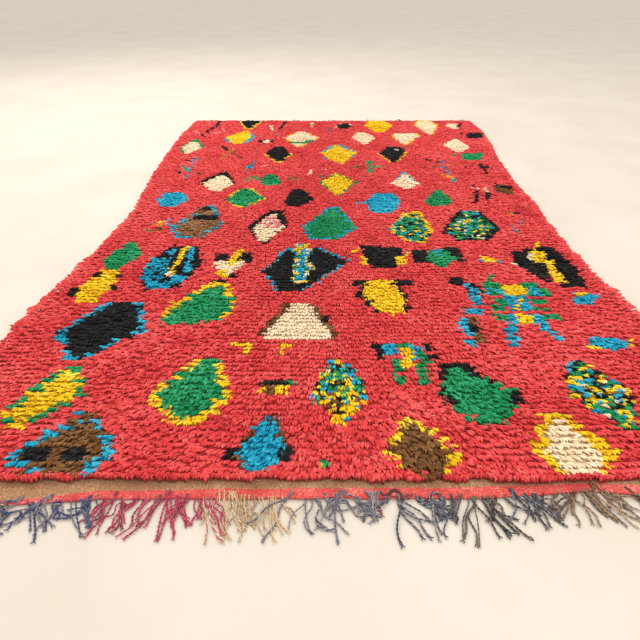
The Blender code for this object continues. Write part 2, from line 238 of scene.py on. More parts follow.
    Bar(-56, -45.5, 54.2, 56.2, "black"), Bar(-54, -50, 58.4, 60, "black"),
    Stroke(-66, 54.5, -62.5, 52, 1.4, "blue"), Bar(-69, -66.5, 52.3, 54.5, "yellow"),
    Stroke(-72.5, 54, -69.5, 52.9, 1, "green"), Stroke(-72.5, 50.5, -69.3, 49.8, 1, "green"),
    Bar(-67.5, -65.5, 50, 51.4, "brown"),
    Lozenge(-33, 51.5, -17.5, 52, -27.5, -24.5, 45.7, -26, -20, 58.2, "black"),
    Lozenge(-31, 50.8, -18.8, 51, -27.5, -24.5, 46.2, -25, -23, 57, "cream"),
    Lozenge(-29, 52.8, -20, 52.8, -28.5, -20.5, 51, -25.5, -23, 55.8, "cream_pink"),
    Lozenge(-12.6, 51.2, 9, 51.2, -9, 1, 46.5, -2, 3, 60, "green", "blue", 0.65),
    Lozenge(20.5, 50.5, 37.5, 50.5, 26.5, 33, 45.8, 28, 36.5, 57.5, "confetti_green", "yellow", 0.6),
    Bar(31.6, 35.3, 56.8, 58.5, "yellow"),
    Lozenge(41, 50, 63.5, 51, 45, 56.5, 46.6, 51, 59.5, 58.5, "confetti_green", "black", 0.75),
    Bar(69.6, 71, 57, 57.8, "black"), Bar(70.8, 73.6, 56.4, 58, "orange"),
    Bar(73.8, 75.8, 57.2, 57.8, "black"), Stroke(74, 54, 68.8, 51.5, 1, "mauve"),
    Stroke(68.6, 51.5, 68.3, 48, 1, "mauve"),
    # Fifth line of motifs.
    Lozenge(-75.5, 63.2, -61, 63.8, -71, -65.5, 60, -73, -66, 67.6, "blue"),
    Lozenge(-46, 63.8, -28.5, 64.2, -40, -36, 60, -42, -35, 69.2, "green", "yellow", 0.6, wide=THIN),
    Lozenge(-20.8, 63, -7.5, 63.5, -18.5, -14.5, 60.2, -17.5, -13, 69, "black"),
    Lozenge(14, 63, 29.5, 62.3, 15.5, 24, 57.7, 19.5, 26.5, 67.3, "blue"),
    Stroke(8.8, 61.9, 15, 62.6, 1, "blue"),
    Lozenge(38.8, 63, 51, 63.8, 41.5, 48.5, 60.7, 46, 49, 68.5, "green"),
    Stroke(60.5, 62.6, 64.3, 68, 1.8, "black"), Stroke(66.3, 64, 69, 68, 2.4, "black"),
    Bar(63, 65, 70.6, 71.6, "black"), Bar(63.5, 66.6, 69.2, 70.6, "cream"),
    Stroke(67.8, 67.2, 69.2, 70, 1.2, "cream"),
    Lozenge(72.3, 68.8, 80.5, 68.8, 75, 79.5, 66.4, 74.5, 79, 71.5, "brown"),
    Bar(75.8, 81.5, 69.5, 71.3, "black"), Bar(74, 76, 71, 72.2, "black"),
    # Sixth line of motifs.
    Bar(-71, -68.5, 86.3, 89, "mauve"), Stroke(-69.5, 86.5, -68.6, 76, 1.1, "mauve"),
    Stroke(-74.5, 83.2, -72, 81.7, 1.6, "green"), Stroke(-72, 81.7, -69.6, 79.8, 1.8, "green_blue"),
    Stroke(-76.3, 80.5, -72, 78.3, 1.1, "black"), Stroke(-76, 88.5, -71.5, 86.3, 1.1, "black"),
    Bar(-65, -62.3, 77.4, 78.6, "brown"), Bar(-66.6, -65.4, 84, 85, "orange"),
    Lozenge(-61.5, 73, -44, 72.6, -53.5, -49.5, 68.4, -53.5, -50, 79.2, "black"),
    Lozenge(-59.5, 72.4, -45, 72.2, -53, -49.5, 68, -52.5, -50.5, 77.2, "cream"),
    Lozenge(-33, 73.8, -22.3, 73.2, -30.5, -24.5, 71, -30.5, -27.5, 77.7, "green"),
    Bar(-40.5, -33, 74, 76.3, "green_red"), Bar(-19.4, -17.6, 73.8, 75.2, "green"),
    Bar(-16, -14.6, 74.3, 75.2, "green"),
    Lozenge(-5.5, 72.3, 11.5, 72.8, 1.5, 4.2, 66.2, 2.5, 4, 78.4, "yellow", "green", 0.65, wide=THIN),
    Stroke(-5.2, 77.5, -5.2, 73, 0.8, "green"), Bar(10.8, 13, 71.6, 73.2, "green"),
    Lozenge(27.5, 72.3, 40.3, 72.3, 31.5, 36, 69.5, 34.2, 36.4, 78.3, "cream", "blue", 0.7, 74, THIN),
    Bar(52.3, 54.5, 77, 78.2, "orange"), Bar(55, 58, 75.6, 77, "yellow"),
    Bar(56.4, 59, 73.4, 75.2, "green_blue"), Stroke(59, 75.4, 62.5, 77, 1, "brown"),
    Bar(56.3, 58, 77.6, 80, "mauve"), Bar(56, 57.5, 80, 81, "green"), Bar(54, 56.8, 81, 83, "mauve"),
    Bar(50.3, 53.3, 81.6, 83.4, "brown"), Bar(55.6, 58, 84.4, 87.3, "mauve"),
    Stroke(58.5, 83.4, 64.6, 85, 1.2, "orange"), Bar(48.2, 52, 86.6, 87.8, "black"),
    Bar(53, 54.6, 85, 86, "black"), Stroke(61.2, 78.9, 64, 79.9, 1, "pink"),
    Stroke(66, 81.8, 72.5, 83.7, 1.2, "black"), Bar(73.6, 81.2, 81.6, 82.9, "black"),
    Bar(74.2, 76.4, 78.3, 84, "black"), Bar(17.8, 21, 84.2, 86.3, "green"),
    Bar(19, 20.6, 78, 84.2, "green"), Bar(11.5, 13.2, 81.7, 83, "green"),
    Bar(13.2, 19, 82.2, 82.9, "brown"), Bar(20.6, 25.5, 82, 83, "green"),
    Bar(26, 29.5, 82.2, 82.9, "brown"), Stroke(-10.4, 77, -9.4, 80.5, 0.8, "cream"),
    Bar(-3.5, -2.5, 80.5, 81.5, "cream"), Stroke(-38.3, 86.3, -39.8, 81, 1.8, "mauve"),
    Bar(-42, -38.5, 81.8, 83, "blue"), Bar(-41.2, -40, 78.6, 80.5, "mauve"),
    Bar(-34.5, -31, 82.2, 83.3, "pink"),
    # Seventh line of motifs.
    Lozenge(-34.8, 91.2, -19.3, 90.6, -27.5, -25, 85.3, -29, -25.5, 96.2, "yellow"),
    Lozenge(-34.2, 92, -20.5, 90.8, -27.5, -24.5, 86.3, -30, -25, 97, "black"),
    Lozenge(-5.5, 92.2, 14.5, 92.8, 4, 6.2, 84.4, 2.5, 6.8, 98.8, "yellow", "blue", 0.9, 93),
    Bar(-3, -1.8, 87.4, 89, "blue"), Bar(11.2, 12.5, 89, 90.8, "blue"),
    Lozenge(25.6, 91.8, 40.8, 92.4, 31, 34.3, 85.5, 33, 40, 96, "yellow"),
    Lozenge(25.5, 92.3, 40.3, 93, 31, 34, 86, 32, 40.3, 97.4, "black"),
    Bar(35.5, 36.8, 94.4, 95.4, "cream"),
    Lozenge(68.3, 88.8, 79, 90, 70.5, 77, 86.7, 71, 74, 92.3, "green"),
    Lozenge(74, 90, 82.2, 91.8, 76, 78, 88.4, 77, 81, 92.4, "green"),
    Stroke(63.5, 90.5, 67.2, 91.4, 1, "green"), Stroke(-58.8, 97.8, -55.2, 94.3, 2, "black"),
    Stroke(-51.6, 92.3, -45.8, 88.6, 1.1, "brown"), Stroke(-52, 96, -56.5, 88, 2, "orange"),
    Lozenge(-82, 96.2, -69.3, 97, -77.5, -75.5, 91.6, -77.5, -74, 103.2, "green"),
    Lozenge(-80.8, 96.8, -70, 96.5, -77, -75, 92, -78.5, -74, 101, "cream"),
    Lozenge(63.7, 99, 77.2, 97.8, 67.5, 71, 93.3, 70.8, 73.3, 104, "cream"),
    Lozenge(36.8, 105.5, 52.8, 106.5, 41, 43, 98.8, 38.5, 51, 109.2, "cream", "yellow", 0.7, wide=THIN),
    Lozenge(13.3, 105, 27, 104.8, 18, 21, 99.5, 17.5, 21.5, 110.2, "cream"),
    Lozenge(-26.5, 105, -5.8, 105, -18.5, -15.5, 97.2, -18, -14, 110.8, "cream", "yellow", 0.8, wide=THIN),
    Lozenge(-25, 105, -7, 105, -22, -9, 102, -23, -8, 107.4, "cream"),
    Bar(-22.5, -11, 100.2, 101.4, "green"), Bar(-14, -8.5, 101.4, 103, "green"),
    Bar(-40, -37, 101, 103, "black"), Bar(-37, -33.3, 100.2, 103.2, "cream"),
    Bar(-33.3, -31.3, 101, 103.2, "black"),
    # Far end.
    Lozenge(-60.8, 103.8, -42.2, 105.3, -55, -46, 100.5, -50, -46, 109.5, "blue"),
    Lozenge(-60, 105.5, -44.3, 105.5, -53.5, -49.5, 99.7, -50.8, -48.3, 111.8, "yellow"),
    Lozenge(-56, 121, -42, 121, -51, -47, 113.2, -55.5, -42.5, 122.5, "yellow"),
    Lozenge(-55, 121, -43, 121.2, -50.5, -47.8, 114.2, -55, -42.5, 122.8, "black"),
    Stroke(-46.5, 115.5, -43.6, 119.8, 1.2, "yellow"), Stroke(-69.3, 121.5, -69.3, 115.4, 2.2, "black"),
    Stroke(-70.2, 115.3, -71.6, 113, 2.2, "black"), Stroke(-73.2, 112.3, -71.8, 109.2, 1.7, "black"),
    Stroke(-75, 108.6, -73, 106, 2.2, "black"), Stroke(-81.5, 112.5, -77, 108.8, 1.2, "pink"),
    Stroke(-66.8, 118.5, -62.8, 111, 1.2, "pink"), Bar(-70.5, -64.5, 109.5, 110.5, "pink"),
    Stroke(-30.2, 113.3, -27, 120.6, 1.6, "black"), Stroke(-31.4, 108.4, -31.4, 111.6, 1, "mauve"),
    Stroke(-35.5, 116.5, -33.8, 112, 1.4, "cream"), Stroke(-38.6, 118, -38.2, 120.4, 1, "pink"),
    Stroke(-10.4, 115, -10.4, 120, 1.4, "cream"), Stroke(1, 109.4, 1, 114.6, 1.4, "mauve"),
    Lozenge(5, 116.8, 15.3, 117, 7.5, 12, 113.8, 7.5, 12, 119.6, "black"),
    Bar(13.3, 14.7, 117.5, 118.8, "cream"), Bar(6.7, 8.2, 118.5, 119.6, "cream"),
    Bar(4.5, 5.7, 115, 116.2, "cream"),
    Lozenge(21.8, 117, 39.8, 117, 28, 33, 110, 26, 35, 122, "yellow"),
    Lozenge(53, 116.8, 68.3, 118, 59, 62.3, 108.3, 57, 65, 122, "cream", "yellow", 0.8, wide=THIN),
    Lozenge(72.8, 116.8, 80, 117, 75.5, 79, 113.3, 75, 80.5, 119, "cream"),
    Stroke(80, 115.3, 83.2, 119, 2, "black"),
    Lozenge(79, 105.8, 91.5, 108.5, 80.5, 88.5, 104.6, 83, 91.5, 109.6, "black"),
    Stroke(76.8, 107.2, 79.5, 110, 1.2, "black"),
)
MIXES = {
    "confetti": dict(yellow=0.27, green=0.25, blue=0.18, black=0.22, brown=0.04, cream=0.04),
    "confetti_yellow": dict(yellow=0.50, brown=0.28, black=0.12, green=0.05, blue=0.05),
    "confetti_blue": dict(blue=0.46, black=0.18, yellow=0.20, green=0.16),
    "confetti_green": dict(green=0.44, black=0.24, blue=0.12, cream=0.08, yellow=0.12),
    "black_blue": dict(black=0.66, blue=0.34),
    "blue_black": dict(blue=0.74, black=0.26),
    "green_blue": dict(green=0.55, blue=0.45),
    "green_red": dict(green=0.45, red=0.55),
    "stripe": dict(yellow=0.46, blue=0.26, cream=0.16, green=0.12),
    "cream_pink": dict(cream=0.45, pink=0.55),
}

# How far from its root a tuft is seen, and how ragged the rows make an outline, in squares.
SEEN_BACK = 0.007
SEEN_SIDE = 0.014
RAGGED_ROW = 0.34
RAGGED_KNOT = 0.06
RAGGED_BAR = 0.20
ONE_KNOT = KNOT_PITCH / SQUARE_ACROSS
ONE_ROW = ROW_PITCH / SQUARE_ALONG
# A stroke that goes more squares across than this for each one along is drawn along the rows.
STEEP = 3
STROKE_SLACK = 0.05


def linear(colour):
    """A colour as it is seen, 0 to 255, as the light that a material takes."""
    shares = [channel / 255 for channel in colour]
    return tuple(s / 12.92 if s <= 0.04045 else ((s + 0.055) / 1.055) ** 2.4 for s in shares)


def side_x(y, side):
    """Place of a side edge at places along the rug: one soft curve through the table's sections."""
    ys, left, right = np.array(SIDES).T
    xs = left if side == "left" else right
    before = np.maximum(np.arange(len(ys)) - 1, 0)
    after = np.minimum(np.arange(len(ys)) + 1, len(ys) - 1)
    slopes = (xs[after] - xs[before]) / (ys[after] - ys[before])
    y = np.clip(y, ys[0], ys[-1])
    number = np.clip(np.searchsorted(ys, y, side="right") - 1, 0, len(ys) - 2)
    length = ys[number + 1] - ys[number]
    share = (y - ys[number]) / length
    rise = share * share * (3.0 - 2.0 * share)
    bend = share * (1.0 - share) * length * (slopes[number] * (1.0 - share) - slopes[number + 1] * share)
    return xs[number] + rise * (xs[number + 1] - xs[number]) + bend


def end_y(x, end):
    """Place of an end edge at places across the rug: the table's line with a soft ripple."""
    x = np.atleast_1d(x)
    number = END_LINES.index(end)
    xs, *lines = np.array(ENDS).T
    ripple = soft_noise(x, np.zeros_like(x), END_RIPPLE_LENGTH, END_RIPPLE_LAYER + number)
    return np.interp(x, xs, lines[number]) + END_RIPPLE * ripple


def soft_noise(x, y, size, layer):
    """Soft noise from -1 to 1 at each place, which changes over the given length."""
    return np.array([noise.noise(Vector((a / size, b / size, layer * 7.3))) for a, b in zip(x, y)])


def depth_in_lozenge(motif, across, along):
    """How deep each knot lies inside a lozenge, in metres, and below zero outside it."""
    corners = (
        (motif.left, motif.left_along), (motif.near_from, motif.near), (motif.near_to, motif.near),
        (motif.right, motif.right_along), (motif.far_to, motif.far), (motif.far_from, motif.far),
    )
    places = [(a * SQUARE_ACROSS, b * SQUARE_ALONG) for a, b in corners]
    x = across * SQUARE_ACROSS
    y = along * SQUARE_ALONG
    depth = np.full(x.shape, np.inf)
    for (ax, ay), (bx, by) in zip(places, places[1:] + places[:1]):
        length = math.hypot(bx - ax, by - ay)
        depth = np.minimum(depth, ((bx - ax) * (y - ay) - (by - ay) * (x - ax)) / length)
    return depth


def on_stroke(motif, across, along):
    """The knots along a stroke: one row thick where it runs along the rows, else its width in squares."""
    a0, b0, a1, b1 = motif[:4]
    if abs(b1 - b0) * STEEP >= abs(a1 - a0):
        share = (along - b0) / (b1 - b0)
        near_line = np.abs(across - (a0 + share * (a1 - a0))) <= max(motif.width, ONE_KNOT) / 2
    else:
        share = (across - a0) / (a1 - a0)
        near_line = np.abs(along - (b0 + share * (b1 - b0))) <= ONE_ROW / 2
    return near_line & (share >= -STROKE_SLACK) & (share <= 1.0 + STROKE_SLACK)


def in_bar(motif, across, along):
    """The knots in a bar, which is never less than one knot wide and one row deep."""
    half_width = max(motif.right - motif.left, ONE_KNOT) / 2
    half_depth = max(motif.far - motif.near, ONE_ROW) / 2
    inside = np.abs(across - (motif.left + motif.right) / 2) <= half_width
    return inside & (np.abs(along - (motif.near + motif.far) / 2) <= half_depth)


def colour_chart():
    """The colour of every knot, as a number into the list of wool names, by row and knot."""
    chance = np.random.default_rng(7)
    names = list(WOOLS)
    x, y = np.meshgrid(KNOTS * KNOT_PITCH, ROW_YS)
    shape = x.shape
    lean = mean_lean(x, y)
    seen = SEEN_SHARE * STRAND_REACH
    across = (x + seen * np.sin(lean)) / SQUARE_ACROSS
    back = SEEN_BACK + SEEN_SIDE * (1.0 - np.cos(lean))
    along = (y - FIRST_ROW_Y + back - seen * np.cos(lean)) / SQUARE_ALONG + 0.5
    row_shift = chance.uniform(-RAGGED_ROW, RAGGED_ROW, (ROWS, 1))
    ragged_across = across + row_shift + chance.normal(0.0, RAGGED_KNOT, shape)
    ragged_along = along + chance.uniform(-RAGGED_KNOT, RAGGED_KNOT, shape)
    bar_across = across + row_shift * RAGGED_BAR + chance.uniform(-RAGGED_BAR, RAGGED_BAR, shape)
    chart = np.zeros(shape, int)

    def lay(mask, fill):
        if fill in MIXES:
            mix = MIXES[fill]
            drawn = chance.choice([names.index(name) for name in mix], size=shape, p=list(mix.values()))
            chart[mask] = drawn[mask]
        else:
            chart[mask] = names.index(fill)

    for motif in MOTIFS:
        if isinstance(motif, Bar):
            lay(in_bar(motif, bar_across, along), motif.fill)
        elif isinstance(motif, Stroke):
            lay(on_stroke(motif, bar_across, along), motif.fill)
        else:
            depth = depth_in_lozenge(motif, ragged_across, ragged_along)
            lay(depth > 0.0, motif.fill)
            if motif.border:
                kept_left, kept_right = chance.random((2, ROWS, 1)) < motif.kept
                middle = (motif.left + motif.right) / 2
                kept = np.where(across < middle, kept_left, kept_right)
                lay((depth > 0.0) & (depth < motif.wide) & kept & (along > motif.upper), motif.border)
    return chart


def put(tree, socket, value):
    """Links another node's output to a socket, or sets the socket's value."""
    if isinstance(value, bpy.types.NodeSocket):
        tree.links.new(value, socket)
    else:
        socket.default_value = value


def add_node(tree, kind, settings=None, **inputs):
    """A new node with its settings, and its inputs by name."""
    item = tree.nodes.new(kind)
    for name, value in (settings or {}).items():
        setattr(item, name, value)
    for name, value in inputs.items():
        put(tree, item.inputs[name.replace("_", " ")], value)
    return item


def noise_texture(tree, place, scale, detail):
    """Output of a noise texture at a place."""
    return add_node(tree, "ShaderNodeTexNoise", Vector=place, Scale=scale, Detail=detail).outputs["Fac"]


def weighted_sum(tree, start, *terms):
    """start plus each socket times its weight."""
    total = start
    for term in terms:
        item = add_node(tree, "ShaderNodeMath", {"operation": "MULTIPLY_ADD"})
        for socket, value in zip(item.inputs, (*term, total)):
            put(tree, socket, value)
        total = item.outputs[0]
    return total


def colour_ramp(tree, factor, places, colours):
    """A ramp through colours as seen, each at its place."""
    ramp = tree.nodes.new("ShaderNodeValToRGB")
    tree.links.new(factor, ramp.inputs[0])
    elements = ramp.color_ramp.elements
    while len(elements) < len(places):
        elements.new(0.5)
    for element, place, colour in zip(elements, places, colours):
        element.position = place
        element.color = (*linear(colour), 1.0)
    return ramp.outputs["Color"]


def mixed_colour(tree, factor, first, second):
    """A colour between two others, by the factor."""
    item = add_node(tree, "ShaderNodeMix", {"data_type": "RGBA"})
    colours = [socket for socket in item.inputs if socket.type == "RGBA"]
    for socket, value in zip((item.inputs[0], *colours), (factor, first, second)):
        put(tree, socket, value)
    return next(socket for socket in item.outputs if socket.type == "RGBA")


def empty_material(name):
    """A new material, its nodes, its shader and a socket with the place in the object."""
    material = bpy.data.materials.new(name)
    material.use_nodes = True
    tree = material.node_tree
    place = tree.nodes.new("ShaderNodeTexCoord").outputs["Object"]
    return material, tree, tree.nodes["Principled BSDF"], place


def attribute(tree, name):
    """Output of one of the mesh's values."""
    return add_node(tree, "ShaderNodeAttribute", {"attribute_name": name}).outputs["Fac"]


def finish(tree, shader, colour, bump, **values):
    """Gives the shader its colour, its bump (height, strength, distance) and its other inputs."""
    tree.links.new(colour, shader.inputs["Base Color"])
    height, strength, distance = bump
    item = add_node(tree, "ShaderNodeBump", Height=height, Strength=strength, Distance=distance)
    tree.links.new(item.outputs["Normal"], shader.inputs["Normal"])
    for name, value in values.items():
        shader.inputs[name.replace("_", " ")].default_value = value


def wool_material(name, wool):
    """Loose hand-spun wool: each strand its own shade, patches of wear and fine fibres; roots darker,
    partly wool less faded there and partly painted shade, and tips lighter as a painted highlight.
    """
    material, tree, shader, place = empty_material(name)
    patches = noise_texture(tree, place, 7.0, 3.0)
    fibres = noise_texture(tree, place, 900.0, 2.0)
    shade = attribute(tree, "shade")
    rise = attribute(tree, "rise")
    # Painted highlight: the tips, with a higher rise, lean towards the light colour.
    tone = weighted_sum(tree, -0.10, (shade, 0.26), (patches, 0.62), (fibres, 0.30), (rise, 0.16))
    colour = colour_ramp(tree, tone, (0.0, 0.48, 1.0), wool)
    # Painted shade at the roots: they darken towards the colour of the shade between the tufts, partly also
    # wool that is less faded there.
    roots = add_node(tree, "ShaderNodeMapRange", Value=rise, From_Min=0.15, From_Max=0.75).outputs["Result"]
    colour = mixed_colour(tree, roots, (*linear(wool[0]), 1.0), colour)
    bump = (fibres, 0.5, 0.0012)
    sheen = {"Sheen_Weight": 0.05, "Sheen_Roughness": 0.55}
    finish(tree, shader, colour, bump, Roughness=0.86, Specular_IOR_Level=0.06, **sheen)
    return material


def mesh_piece(name, points, faces, material, values):
    """A piece from points, faces that all have the same number of corners, and values for each point."""
    mesh = bpy.data.meshes.new(name)
    corners = faces.shape[1]
    mesh.vertices.add(len(points))
    mesh.vertices.foreach_set("co", np.ascontiguousarray(points, np.float32).ravel())
    mesh.loops.add(faces.size)
    mesh.loops.foreach_set("vertex_index", np.ascontiguousarray(faces, np.int32).ravel())
    mesh.polygons.add(len(faces))
    mesh.polygons.foreach_set("loop_start", np.arange(0, faces.size, corners, dtype=np.int32))
    mesh.update(calc_edges=True)
    for key, value in values.items():
        layer = mesh.attributes.new(key, "FLOAT", "POINT")
        layer.data.foreach_set("value", np.ascontiguousarray(value, np.float32).ravel())
    mesh.shade_smooth()
    mesh.materials.append(material)
    item = bpy.data.objects.new(name, mesh)
    bpy.context.scene.collection.objects.link(item)
    return item


# A tuft strand: a root point in the pile's body, a ring and a tip point, each at a share of its reach.
STRAND_SIDES = 3
STRAND_OUT = (0.02, 0.76, 1.0)
STRAND_HEIGHT = (0.0130, 0.0180, 0.0150)
STRAND_WIDTH = 0.0025
STRAND_DEPTH = 0.0021
# Rise of the root, ring and tip, which the wool turns into painted shade at the roots and a painted
# highlight on the tips.
STRAND_RISE = (0.40, 0.95, 1.0)
STRAND_REACH = 0.023
STRANDS_PER_KNOT = 4
# The first row is a rolled edge: tiers of short tufts, one under the other.
EDGE_TIERS = 2
RIM_KNOTS = 2
RIM_WIDTH = 0.025
LOWEST_TUFT = 0.0006
EDGE_DROP = 0.0030
EDGE_REACH = 0.60
EDGE_DROOP = 0.0080
EDGE_BACK = 0.0030
FAR_EDGE_BACK = 0.0050
LOCK_STEP = 0.004
FAN_WIDTH = 0.34
FAN_NEAR = 44.0
FAN_FAR = 60.0
FAN_GROWTH = 0.45
SEEN_SHARE = 0.62
# The shaggiest part of the pile, at the middle of the near end.
SHAGGY_X = 0.04
SHAGGY_WIDTH = 0.34
SHAGGY_LENGTH = 0.50


def repeated(faces, count, points):
    """The faces of many like shapes, from the faces of one and its number of points."""
    return (np.array(faces) + np.arange(count)[:, None, None] * points).reshape(-1, 3)


def tube_faces(count, rings, sides):
    """Triangles of closed tubes: a base, the sides between the rings, and a fan to the tip."""
    faces = [(0, number, number + 1) for number in range(1, sides - 1)]
    for ring in range(rings - 1):
        for number in range(sides):
            a = ring * sides + number
            b = ring * sides + (number + 1) % sides
            faces += [(a, b + sides, b), (a, a + sides, b + sides)]
    last = (rings - 1) * sides
    tip = rings * sides
    faces += [(last + (number + 1) % sides, last + number, tip) for number in range(sides)]
    return repeated(faces, count, tip + 1)


def strand_faces(count):
    """Triangles of tuft strands: three from the root point to the ring, three from there to the tip."""
    pairs = ((1, 2), (2, 3), (3, 1))
    faces = [(0, b, a) for a, b in pairs] + [(a, b, STRAND_SIDES + 1) for a, b in pairs]
    return repeated(faces, count, STRAND_SIDES + 2)


def field_knots():
    """Root, row, chart column and edge tier of every knot: tier -1 points away over the far edge."""
    lines = np.concatenate([np.zeros(EDGE_TIERS - 1, int), np.arange(ROWS), [ROWS - 1]])
    tiers = np.concatenate([np.arange(1, EDGE_TIERS), np.zeros(ROWS, int), [-1]])
    line, knot = (grid.ravel() for grid in np.meshgrid(np.arange(len(lines)), KNOTS, indexing="ij"))
    row_number = lines[line]
    tier = tiers[line]
    y = ROW_YS[row_number]
    x = (knot + tier / EDGE_TIERS) * KNOT_PITCH
    inside = (x > side_x(y, "left") + SIDE_MARGIN) & (x < side_x(y, "right") - SIDE_MARGIN)
    places = [values[inside] for values in (x, y, row_number, knot + SIDE_KNOT, tier)]
    rows = np.arange(ROWS - 1)
    y = FIRST_ROW_Y + (rows + 0.5) * ROW_PITCH
    for side, step in (("left", 1), ("right", -1)):
        for number in range(RIM_KNOTS):
            x = side_x(y, side) + step * (RIM_MARGIN + number * KNOT_PITCH)
            column = np.round(x / KNOT_PITCH).astype(int) + SIDE_KNOT
            more = (x, y, rows, column, np.zeros(ROWS - 1, int))
            places = [np.concatenate(pair) for pair in zip(places, more)]
    return places


def mean_lean(x, y):
    """Lean of the tufts in radians from straight towards the near end: they fan out to both sides."""
    growing = np.clip((y - FIRST_ROW_Y) / FAN_GROWTH, 0.0, 1.0)
    return np.tanh(x / FAN_WIDTH) * np.radians(FAN_NEAR + (FAN_FAR - FAN_NEAR) * growing)


def tufts(chart, chance):
    """Place, colour, row and pose of every knot's tuft, and whether it is an edge tuft or a shaggy one."""
    x, y, row_number, column, tier = field_knots()
    colour = chart[row_number, column]
    front = np.where(row_number == 0, 1.0, 0.0)
    away = np.where(tier < 0, 1.0, 0.0)
    near_middle = np.exp(-((x - SHAGGY_X) / SHAGGY_WIDTH) ** 2)
    near_middle = near_middle * np.clip(1.0 - (y - FIRST_ROW_Y) / SHAGGY_LENGTH, 0.0, 1.0)
    unrest = np.clip(0.20 + 0.55 * near_middle + 0.7 * soft_noise(x, y, *UNREST), 0.0, 1.0)
    plain = colour == list(WOOLS).index("cream")
    unrest = np.where(plain, 0.1, unrest)
    y = y + ROW_WANDER * soft_noise(x, y, *WANDER)
    y = y + ROW_STRAY * soft_noise(x, row_number * STRAY[0] / 2, *STRAY) * (1.0 - front)
    lump = soft_noise(x, y, *LUMP)
    lock = soft_noise(x, y, *LOCK)
    edge_lock = soft_noise(x, y, *EDGE_LOCK)
    knots = len(x)
    y = y + chance.normal(0.0, 1.0, knots) * (0.0009 + 0.0042 * unrest) * (1.0 - 0.7 * front)
    y = y + EDGE_BACK * (1.0 + soft_noise(x, y, *EDGE_LINE)) * front - FAR_EDGE_BACK * away
    turned = 20.0 * soft_noise(x, y, *TURN) + 17.0 * lock
    turned = turned + chance.normal(0.0, 1.0, knots) * (4.0 + 17.0 * unrest)
    lean = mean_lean(x, y) * (1.0 - 0.35 * front) + np.radians(turned * np.where(plain, 0.5, 1.0))
    rising = soft_noise(x + LOCK_STEP, y, *EDGE_LOCK) - soft_noise(x - LOCK_STEP, y, *EDGE_LOCK)
    lean = lean + 0.9 * rising * front + (math.pi - 0.6 * lean) * away
    reach = 1.0 + 0.14 * lump + chance.normal(0.0, 0.08, knots)
    height = 1.0 + 0.11 * lump + 0.05 * lock + chance.normal(0.0, 0.035, knots)
    shade = chance.normal(0.0, 0.40, knots) + 0.4 * lock
    inward = np.minimum(x - side_x(y, "left"), side_x(y, "right") - x)
    rim = np.clip(1.0 - inward / RIM_WIDTH, 0.0, 1.0)
    reach = reach + (0.24 * edge_lock + 0.24 * lump - 0.22) * rim
    reach = np.where(front + away > 0.0, EDGE_REACH + 0.42 * edge_lock + 0.12 * lump, reach)
    return x, y, colour, row_number, lean, reach, height, shade, front + away, tier, near_middle


def pile(chart):
    """Every tuft strand of the pile, as points by strand, with their colours, rows and shades."""
    chance = np.random.default_rng(19)
    x, y, colour, row_number, lean, reach, height, shade, front, tier, shaggy = (
        np.repeat(values, STRANDS_PER_KNOT) for values in tufts(chart, chance)
    )
    count = len(x)
    in_knot = np.arange(count) % STRANDS_PER_KNOT - (STRANDS_PER_KNOT - 1) / 2
    x = x + in_knot * KNOT_PITCH / STRANDS_PER_KNOT
    x = x + chance.normal(0.0, 0.0007, count)
    y = y + chance.normal(0.0, 0.0012, count)
    lean = lean + np.radians(chance.normal(0.0, 9.0, count)) * (1.0 - 0.4 * front)
    reach = STRAND_REACH * (reach + chance.normal(0.0, 0.08, count) * (1.0 - 0.5 * front))
    height = height + chance.normal(0.0, 0.035, count)
    sunk = EDGE_DROP * np.abs(tier)
    droop = chance.normal(0.0, 0.0014, count) - EDGE_DROOP * front
    size = 1.0 + chance.normal(0.0, 0.12, count) + 0.30 * front + 0.32 * shaggy
    curl = chance.normal(0.0, 0.0022, count)
    out = np.stack([np.sin(lean), -np.cos(lean), np.zeros(count)], 1)
    side = np.stack([np.cos(lean), np.sin(lean), np.zeros(count)], 1)
    root, middle, tip = (
        np.stack([x, y, level * height - sunk], 1) + out * (share * reach)[:, None]
        for share, level in zip(STRAND_OUT, STRAND_HEIGHT)
    )
    tip = tip + side * curl[:, None]
    tip[:, 2] += droop
    ahead = tip - root
    ahead /= np.linalg.norm(ahead, axis=1)[:, None]
    above = np.cross(ahead, side)
    turn = chance.uniform(0.0, 2 * math.pi, count)
    ring = []
    for number in range(STRAND_SIDES):
        angle = turn + 2 * math.pi * number / STRAND_SIDES
        wide = side * (np.cos(angle) * size * STRAND_WIDTH)[:, None]
        high = above * (np.sin(angle) * size * STRAND_DEPTH)[:, None]
        ring.append(middle + wide + high)
    points = np.stack([root, *ring, tip], 1)
    points[:, :, 2] = np.maximum(points[:, :, 2], LOWEST_TUFT)
    shade = np.clip(shade + chance.normal(0.0, 0.30, count), -1.0, 1.0)
    return points, colour, row_number, shade


# The pile's body under the tufts: a ridge along each row, a groove at its roots.
BED_COLUMNS = 64
BED_INSET = 0.006
BED_CREST = 0.0152
BED_GROOVE = 0.0128
BED_CREST_BACK = 0.0065
BED_FOOT = 0.0024
BED_NEAR_OVERHANG = 0.004
BED_FAR_OVERHANG = 0.006
# Rise on the body's crests, grooves and foot: painted shade makes the grooves between the rows and the foot
# under the tufts darker than the crests.
CREST_RISE = 0.62
GROOVE_RISE = 0.36
FOOT_RISE = 0.1


def stacked(*corners):
    """Faces from arrays of their first corners, second corners and so on."""
    return np.stack([corner.ravel() for corner in corners], 1)


def add_materials(item, materials, numbers):
    """Further materials for a piece, and the number of the material of each face."""
    for material in materials:
        item.data.materials.append(material)
    item.data.polygons.foreach_set("material_index", numbers.astype(np.int32))


